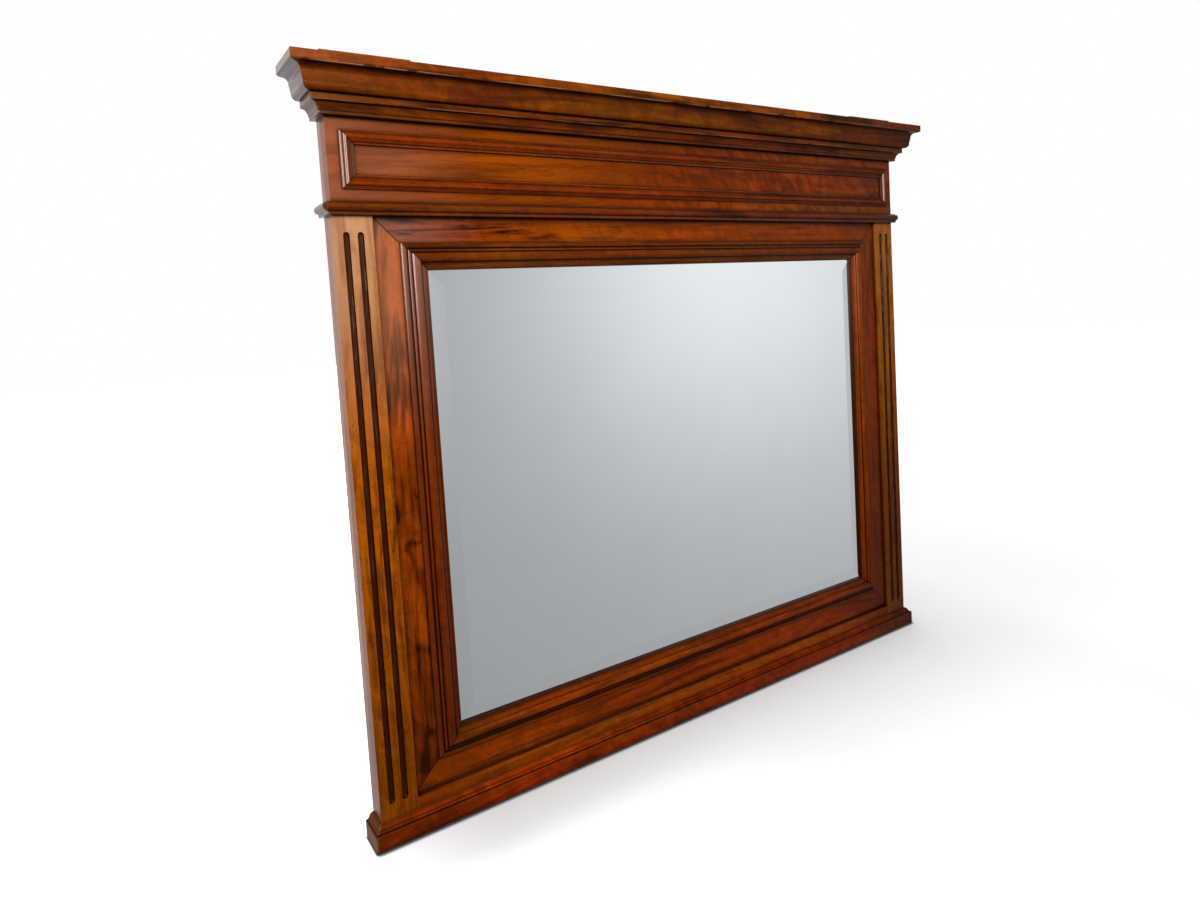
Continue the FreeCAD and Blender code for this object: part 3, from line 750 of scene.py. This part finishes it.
# %% Crown, frieze and base
MOULDED = {"shine": 0.35, "rough": 0.20}
END_FACE = {"shine": 0.7, "dulled": (0.0, 0.3, 0.2), "thread": 0.1, "patch": 0.2, "vein": 0.05,
            "fibre": 0.08, "worn": 0.1, "smudge": 0.1, "fleck": 0.2, "relief": 0.05}
BOARDS = {
    "crown_moulding_return": ((0.11, 0.034, 0.012), (0.05, 0.012, 0.004), END_FACE),
    "bed_moulding_return": ((0.12, 0.032, 0.010), (0.05, 0.012, 0.004), {**END_FACE, "shine": 0.45}),
    "astragal_return": ((0.12, 0.034, 0.010), (0.05, 0.012, 0.004), {**END_FACE, "shine": 0.6}),
    "base_moulding_return": ((0.22, 0.050, 0.004), (0.05, 0.008, 0.002),
                             {**END_FACE, "shine": 0.1, "rough": 0.5}),
    "crown_moulding": ((0.26, 0.049, 0.001), (0.05, 0.008, 0.001),
                       {"rough": 0.42, "shine": 0.1, "gloss_rough": 0.3, "reach": 14 * MM, "smudge": 0.7,
                        "patch": 0.45, "figure": 0.25, "worn": 0.0, "burn": (0.44, 1.152)}),
    "crown_block": ((0.30, 0.070, 0.004), (0.09, 0.016, 0.002), {}),
    "bed_moulding": ((0.19, 0.035, 0.001), (0.03, 0.005, 0.001),
                     {"rough": 0.36, "shine": 0.1, "gloss_rough": 0.2, "reach": 10 * MM, "patch": 0.5,
                      "size": (5.0, 22.0)}),
    "astragal": ((0.17, 0.026, 0.001), (0.040, 0.006, 0.001), {**MOULDED, "shine": 0.2, "patch": 0.5}),
    "frieze_board": ((0.32, 0.049, 0.0005), (0.06, 0.009, 0.0005),
                     {"figure": 0.36, "figured_from": -0.25, "thread": 0.28, "haze": 0.50, "bloom": ROSY_SHEEN,
                      "worn": 0.2, "reach": 6 * MM, "shade": 100 * MM,
                      "dim": (-0.36, -0.06, 0.45, 0.05, 0.0, 0.985)}),
    "panel_moulding_left": ((0.20, 0.030, 0.001), (0.055, 0.009, 0.001),
                            {**MOULDED, "shine": 1.0, "reach": 5 * MM, "relief": 0.05, "worn": 0.2}),
    "panel_moulding_right": ((0.22, 0.034, 0.001), (0.055, 0.009, 0.001),
                             {**MOULDED, "shine": 0.45, "reach": 5 * MM, "worn": 0.1}),
    "panel_moulding": ((0.22, 0.034, 0.001), (0.055, 0.009, 0.001),
                       {**MOULDED, "shine": 0.15, "reach": 5 * MM, "worn": 0.1}),
    "lower_rail": ((0.38, 0.051, 0.0005), (0.08, 0.012, 0.001),
                   {"reach": 12 * MM, "patch": 0.4, "gilt": 0.6}),
    "base_moulding": ((0.37, 0.040, 0.0005), (0.04, 0.005, 0.001),
                      {"figure": 0.30, "rough": 0.22, "patch": 0.5, "thread": 0.25, "reach": 12 * MM,
                       "dim": (-0.35, 0.0, 0.36, 0.7, 1.0, -1.0)}),
}

# %% Pilasters and sides
PLAIN_FACE = {"thread": 0.3, "patch": 0.3, "vein": 0.1, "flame": 0.0, "worn": 0.15}
PILASTER = {**PLAIN_FACE, "patch": 0.5, "size": (9.0, 60.0), "fleck": 0.5}
BOARDS |= {
    "pilaster_left": ((0.40, 0.104, 0.001), (0.11, 0.022, 0.001),
                      {**PILASTER, "fibre": 0.4, "smudge": 0.5, "haze": 0.75}),
    "pilaster_right": ((0.60, 0.145, 0.001), (0.15, 0.030, 0.001),
                       {**PILASTER, "haze": 0.12, "hazy_to": 0.9}),
    "side": ((0.38, 0.076, 0.008), (0.26, 0.048, 0.005),
             {**PLAIN_FACE, "worn": 0.1, "shine": 0.45, "dulled": (0.05, 0.35, 0.15), "fibre": 0.1,
              "relief": 0.05}),
}

# %% Flat frame and sight moulding
FLAT = {"worn": 0.1, "shade": 30 * MM}
SIGHT = {**MOULDED, "shine": 0.12, "vein": 0.1}
BOARDS |= {
    "frame_left": ((0.44, 0.074, 0.0005), (0.030, 0.005, 0.001),
                   {**FLAT, "flame": 0.85, "patch": 0.3, "vein": 0.05, "swirl": 0.4, "haze": 0.45,
                    "low": 0.35, "fibre": 0.4}),
    "frame_right": ((0.39, 0.053, 0.0005), (0.030, 0.005, 0.001), FLAT),
    "frame_top": ((0.31, 0.052, 0.0005), (0.025, 0.005, 0.001),
                  {**FLAT, "flame": 0.0, "patch": 1.0, "patch_to": -0.1, "size": (5.0, 40.0), "haze": 0.45,
                   "bloom": MAUVE_SHEEN}),
    "frame_bottom": ((0.33, 0.045, 0.0005), (0.04, 0.007, 0.001),
                     {**FLAT, "flame": 0.0, "patch": 0.4, "gilt": 0.35}),
    "sight_moulding_left": ((0.17, 0.023, 0.001), (0.045, 0.007, 0.001),
                            {**SIGHT, "shine": 0.9, "dulled": (0.60, 0.95, 0.08), "gloss_rough": 0.13,
                             "haze": 0.3, "hazy_to": -0.30, "reach": 9 * MM, "patch": 0.2, "fibre": 0.1,
                             "worn": 0.1, "relief": 0.05}),
    "sight_moulding_right": ((0.35, 0.060, 0.001), (0.055, 0.008, 0.001),
                             {**SIGHT, "shine": 0.15, "reach": 7 * MM, "worn": 0.3}),
    "sight_moulding_bottom": ((0.28, 0.043, 0.001), (0.05, 0.008, 0.001),
                              {**SIGHT, "reach": 7 * MM, "worn": 0.6}),
    "sight_moulding": ((0.17, 0.028, 0.001), (0.05, 0.008, 0.001),
                       {**SIGHT, "reach": 10 * MM, "worn": 0.3}),
}

# %% [markdown]
# A lip's entry gives its height as a share of the moulding's, then how strongly painted shade
# darkens it below and how strongly wear and a painted highlight pale it along. A quirk's entry
# gives its place from the moulding's foot, or from the mitred frame's outer edge, and half its
# line's width, both in millimetres, and its darkness. They follow the mouldings' profiles, so
# that each dark line of dirt and painted shade lies in its groove. The one at the base's foot is
# a painted contact shadow, and the wide one on the bottom sight moulding paints the shade on its
# side that faces down.

# %% Lips and quirks
LIPS = {"crown_moulding": (0.71, 0.5, 0.8), "bed_moulding": (0.64, 0.25, 0.6),
        "base_moulding": (0.71, 0.0, 0.2)}
SIGHT_QUIRKS = ((9.2, 1.6, 0.85), (15.0, 1.6, 0.85), (30.2, 1.6, 0.85), (41.5, 1.6, 0.85))
QUIRKS = {
    "crown_moulding": ((0.0, 1.6, 0.85), (32.8, 1.6, 0.85)),
    "bed_moulding": ((0.0, 1.6, 0.85), (5.2, 1.2, 0.7), (16.4, 1.6, 0.85)),
    "astragal": ((4.7, 1.2, 0.7), (17.6, 1.4, 0.85)),
    "base_moulding": ((0.0, 2.5, 0.8), (27.6, 1.4, 0.8), (31.2, 1.2, 0.6)),
    "panel_moulding": ((2.4, 1.0, 0.75), (15.9, 1.2, 0.85)),
    "sight_moulding_bottom": ((12.0, 11.0, 0.8), (31.5, 4.0, 0.3), (38.5, 4.0, 0.4), (41.5, 1.6, 0.85)),
    "sight_moulding_left": ((9.2, 1.6, 0.35), (15.0, 1.6, 0.45), (30.2, 2.0, 0.3), (39.0, 4.0, 0.4)),
    "sight_moulding_top": (*SIGHT_QUIRKS, (38.5, 3.0, 0.4)),
    "sight_moulding": SIGHT_QUIRKS,
}
MITRED = ("frame_", "sight_moulding_", "panel_moulding_")

# %% From a piece's name to its look
walnut_pieces = sorted(part["node"] for part in subparts if part["material_slot"] == "polished_walnut")


def entry_for(name, table, otherwise=None):
    """The first entry whose key begins the piece's name."""
    return next((table[key] for key in table if name.startswith(key)), otherwise)


def grain_of(name):
    """The direction of the grain: along each piece's length."""
    if "return" in name:
        return "Y"
    upright = name.endswith(("_left", "_right")) and not name.startswith("crown_block")
    return "Z" if upright else "X"


def mitre_of(name):
    """Outer half width, middle height and half height of the mitred frame that a piece is in."""
    family = next((key for key in MITRED if name.startswith(key)), None)
    if family is None:
        return None
    boxes = [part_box(other) for other in walnut_pieces if other.startswith(family)]
    low = min(box[0].z for box in boxes)
    high = max(box[1].z for box in boxes)
    return max(box[1].x for box in boxes), (low + high) / 2, (high - low) / 2


def look_of(name, low, high):
    """The usual look, then the board's own entry, then what follows from its place and size."""
    light, dark, manner = entry_for(name, BOARDS)
    look = SimpleNamespace(**{**USUAL, **manner})
    look.light, look.dark = light, dark
    look.lip = entry_for(name, LIPS)
    if look.lip is not None:
        share, shade_below, pale = look.lip
        look.lip = low.z + share * (high.z - low.z), shade_below, pale
    look.quirks = entry_for(name, QUIRKS, ())
    look.foot = low.z
    look.mitre = mitre_of(name)
    look.flute_face = low.y if name.startswith("pilaster") else None
    return look


# %% Finish every walnut piece
GOLDEN = 0.618


def dress(piece, finish):
    """Gives a piece this one finish."""
    piece.data.materials.clear()
    piece.data.materials.append(finish)


for count, name in enumerate(walnut_pieces):
    low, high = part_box(name)
    grain = grain_of(name)
    across_axis = AXES[grain][1]
    middle = (low[across_axis] + high[across_axis]) / 2
    finish = walnut("walnut_" + name, grain, 3.0 + count * GOLDEN, middle, look_of(name, low, high))
    dress(nodes[name], finish)
    if "moulding" not in name and "astragal" not in name:
        round_arrises(nodes[name], WALNUT_ARRIS)
print("walnut pieces", len(walnut_pieces))

# %% [markdown]
# ## Plain timber behind
# The back boards, rails, fillets and blocks are plain pine, never polished, brown with age.
# Keys, dowels and setting blocks are beech. Here the log's yearly rings do show, so they are
# drawn as rings about a heart that lies outside the boards, which cut through them. Pine has
# wide rings with soft dark bands, beech has fine ones, and both have a dull, dry surface.

# %% Pine and beech
HEART_DEPTH = 80 * MM


def plain_timber(name, grain, start, light, dark, ring, rough):
    """Ringed wood between a light and a dark colour, with this width of ring and roughness."""
    material, sheet = finish_named(name)
    board = Board(sheet, grain, start)
    wander = board.noise(1.0, 4.0, detail=2.0) - 0.5
    side = board.across + wander * 0.10
    back = board.deep + HEART_DEPTH
    radius = (side * side + back * back) ** 0.5
    turn = (radius / ring).maths("FRACT")
    late = sheet.between(turn, 0.30, 0.92) * sheet.between(turn, 0.93, 1.0, 1.0, 0.0)
    fibre = board.noise(8.0, 420.0, detail=4.0, roughness=0.6)
    dirt = board.noise(5.0, 9.0, detail=4.0)
    wood = sheet.mix(late * 0.55 + sheet.between(fibre, 0.3, 0.8) * 0.4, light, dark)
    wood = sheet.mix(sheet.between(dirt, 0.45, 0.75, 0.0, 0.45), wood, tuple(c * 0.4 for c in dark))
    ripple = sheet.bump(fibre * 0.7 + late * 0.3, 0.5, 0.3 * MM)
    roughness = rough + sheet.between(fibre, 0.3, 0.7, -0.06, 0.06)
    inputs = {"Base Color": wood, "Roughness": roughness, "Normal": ripple, "IOR": 1.45}
    surface(sheet, sheet.node("ShaderNodeBsdfPrincipled", None, inputs))
    return material


PLAIN = {
    "pine": ((0.55, 0.36, 0.19), (0.33, 0.17, 0.075), 6.5 * MM, 0.68),
    "beech": ((0.60, 0.40, 0.24), (0.44, 0.26, 0.14), 3.0 * MM, 0.55),
}
plain_pieces = 0
for count, part in enumerate(subparts):
    if part["material_slot"] in PLAIN:
        name = part["node"]
        low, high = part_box(name)
        longest = max(range(3), key=lambda axis: high[axis] - low[axis])
        finish = plain_timber(part["material_slot"] + "_" + name, "XYZ"[longest], 1.0 + count * GOLDEN,
                              *PLAIN[part["material_slot"]])
        dress(nodes[name], finish)
        round_arrises(nodes[name], PLAIN_ARRIS)
        plain_pieces += 1
print("pine and beech pieces", plain_pieces)

# %% [markdown]
# ## Metal fittings
# The wall plates are rolled brass gone brown in patches, and the screws and pins are plain
# steel. Fine scratches from rolling show in the gloss more than in the colour.

# %% Metal
def metal(name, bright, dull, rough):
    """Bright metal with dull clouds of tarnish and fine level scratches."""
    material, sheet = finish_named(name)
    place = sheet.node("ShaderNodeTexCoord", out="Object")
    cloud = sheet.noise(place, scale=60.0, detail=4.0, roughness=0.5)
    rolled = sheet.noise(sheet.vector("MULTIPLY", place, (40.0, 40.0, 2600.0)), detail=3.0)
    tarnish = sheet.between(cloud, 0.42, 0.68)
    colour = sheet.mix(tarnish, bright, dull)
    roughness = rough + tarnish * 0.18 + sheet.between(rolled, 0.3, 0.7, -0.05, 0.05)
    ripple = sheet.bump(rolled, 0.15, 0.05 * MM)
    inputs = {"Base Color": colour, "Metallic": 1.0, "Roughness": roughness, "Normal": ripple}
    surface(sheet, sheet.node("ShaderNodeBsdfPrincipled", None, inputs))
    return material


METALS = {
    "brass_plate": metal("old_brass", (0.52, 0.36, 0.15), (0.30, 0.19, 0.08), 0.38),
    "screw_steel": metal("plain_steel", (0.46, 0.44, 0.42), (0.20, 0.17, 0.14), 0.38),
}
for part in subparts:
    if part["material_slot"] in METALS:
        dress(nodes[part["node"]], METALS[part["material_slot"]])
print("metals", ", ".join(sorted(METALS)))

# %% [markdown]
# ## The plate
# The mirror is 6 mm glass, silvered behind, with a bevel ground round its front. The silver
# sends back nearly all the light with a faint cool cast, and the glass in front adds a second,
# weaker gloss. Metal with a near mirror finish stands for both. An old plate is never quite
# clean, so its gloss varies a little. The true bevel caught too much contrast in this simple
# room, so its shading normal is eased towards the plate's own, and its mesh stays as it is.

# %% Mirror plate
KEPT_X, KEPT_Y, KEPT_Z = 0.72, 0.55, 0.25

material, sheet = finish_named("silvered_glass")
place = sheet.node("ShaderNodeTexCoord", out="Object")
haze = sheet.noise(place, scale=6.0, detail=4.0)
silver = sheet.mix(sheet.between(haze, 0.35, 0.75), (0.915, 0.92, 0.92), (0.895, 0.905, 0.91))
roughness = sheet.between(haze, 0.45, 0.80, 0.010, 0.035)
facet = sheet.node("ShaderNodeNewGeometry", out="Normal")
eased = sheet.vector("MULTIPLY_ADD", facet, (KEPT_X, KEPT_Y, KEPT_Z), (0.0, KEPT_Y - 1.0, 0.0))
inputs = {"Base Color": silver, "Metallic": 1.0, "Roughness": roughness,
          "Normal": sheet.vector("NORMALIZE", eased)}
surface(sheet, sheet.node("ShaderNodeBsdfPrincipled", None, inputs))
dress(nodes["mirror_plate"], material)
print("plate", [round(v, 4) for v in nodes["mirror_plate"].dimensions])
